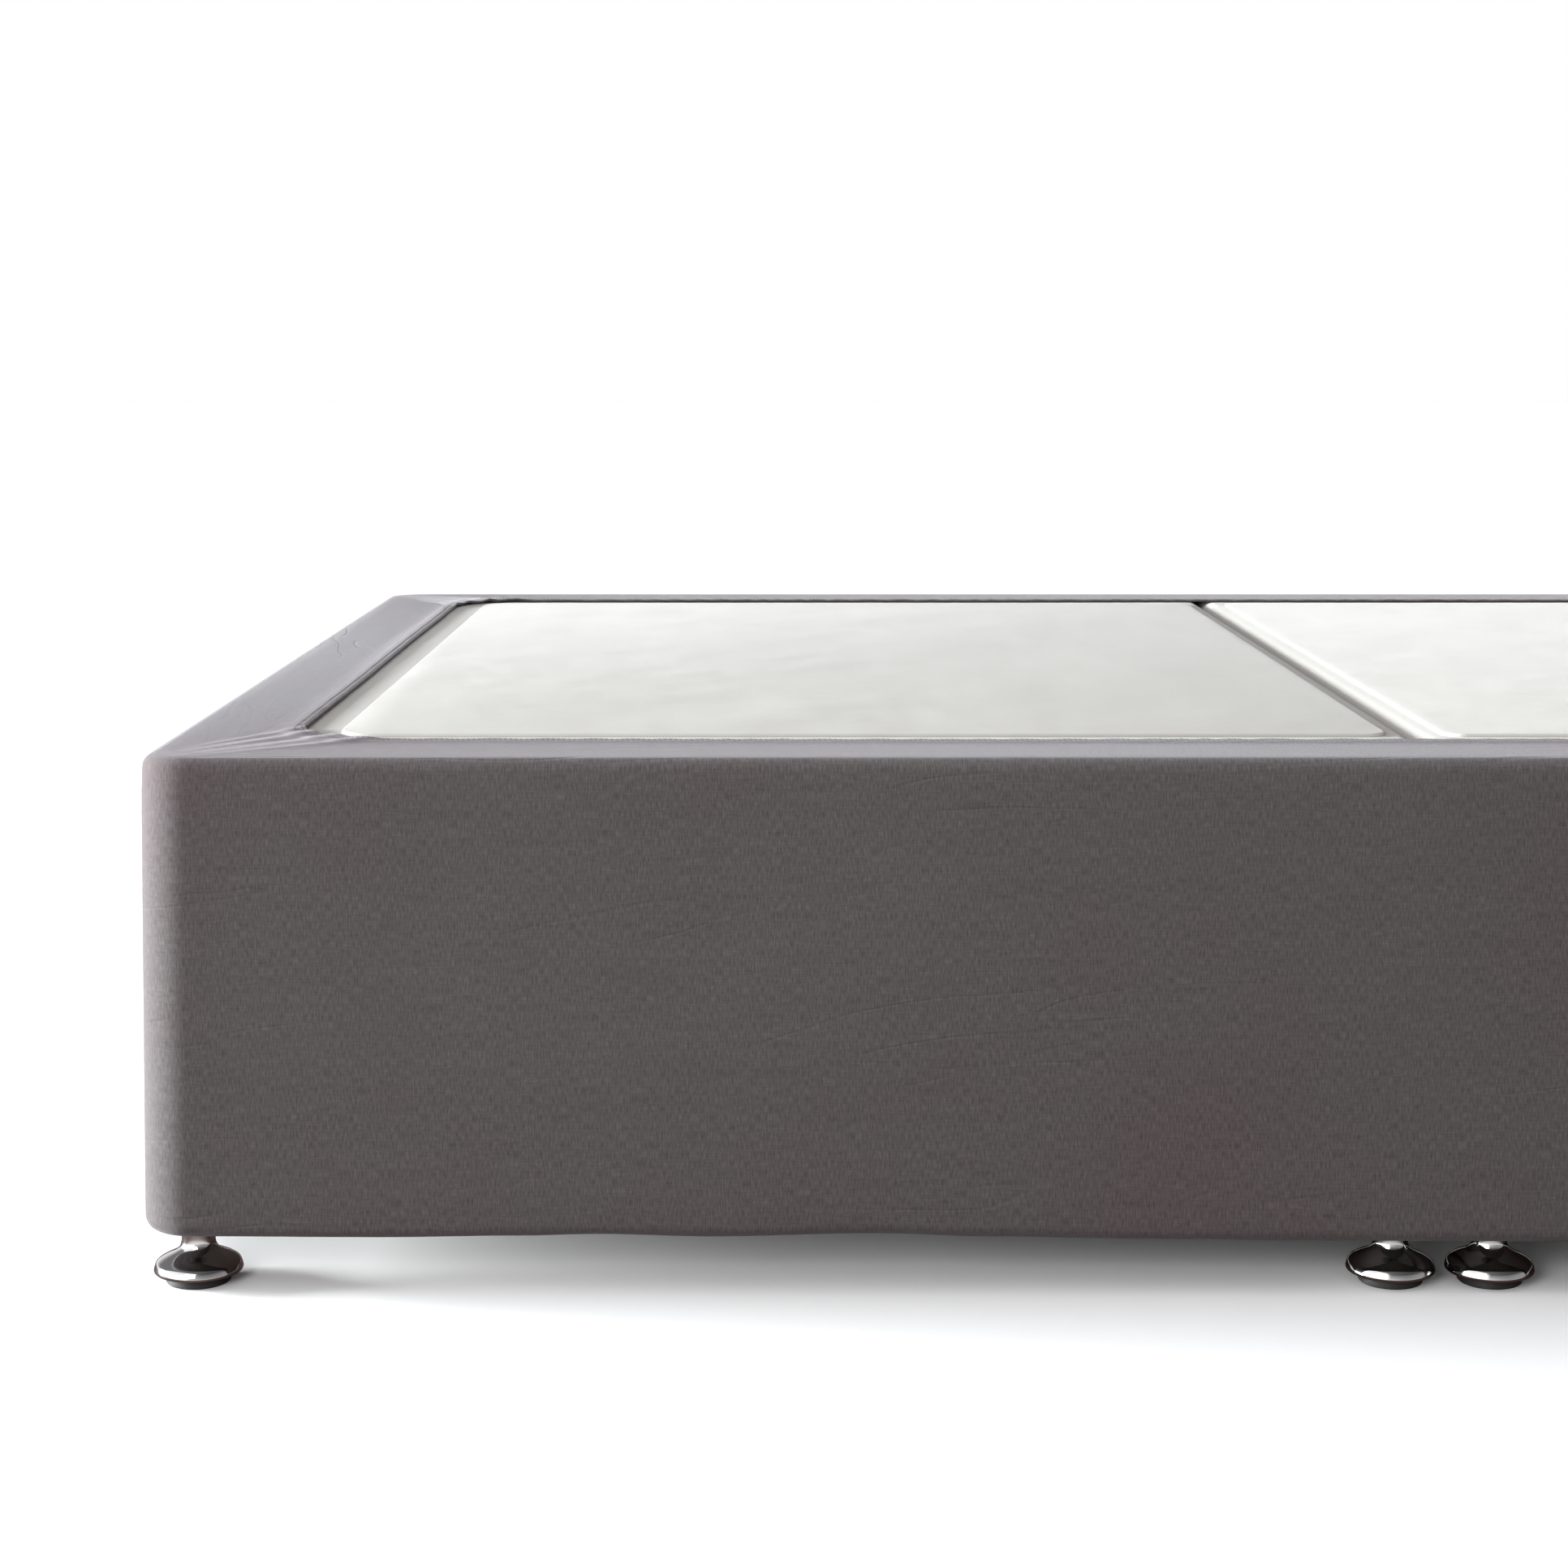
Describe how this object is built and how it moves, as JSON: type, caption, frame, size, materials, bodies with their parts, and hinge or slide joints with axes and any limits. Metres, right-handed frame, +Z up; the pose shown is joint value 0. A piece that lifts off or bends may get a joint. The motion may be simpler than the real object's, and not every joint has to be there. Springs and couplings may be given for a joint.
{
  "type": "bed base wrap on divan bed base",
  "caption": "Charcoal stretch wrap fitted round the sides of a divan bed base, turned in over its top edge and under its bottom edge, standing on chromed bell glides.",
  "frame": {"origin": "on the floor, under the middle of the bed base", "axes": "+X from the foot end to the head end, -Y towards the long side that faces the room, +Z up"},
  "size_m": [1.904, 1.354, 0.3952],
  "materials": {
    "wrap_cloth": "brushed stretch jersey",
    "base_cloth": "plain woven platform cloth",
    "glide_chrome": "bright plated",
    "pad_plastic": "satin"
  },
  "bodies": {
    "root": {"wrap": "wrap_cloth", "base_foot_half": "base_cloth", "base_head_half": "base_cloth", "glide_foot_end_front": "glide_chrome", "glide_foot_end_back": "glide_chrome", "glide_foot_joint_front": "glide_chrome", "glide_foot_joint_back": "glide_chrome", "glide_head_joint_front": "glide_chrome", "glide_head_joint_back": "glide_chrome", "glide_head_end_front": "glide_chrome", "glide_head_end_back": "glide_chrome", "pad_foot_end_front": "pad_plastic", "pad_foot_end_back": "pad_plastic", "pad_foot_joint_front": "pad_plastic", "pad_foot_joint_back": "pad_plastic", "pad_head_joint_front": "pad_plastic", "pad_head_joint_back": "pad_plastic", "pad_head_end_front": "pad_plastic", "pad_head_end_back": "pad_plastic"}
  },
  "joints": []
}
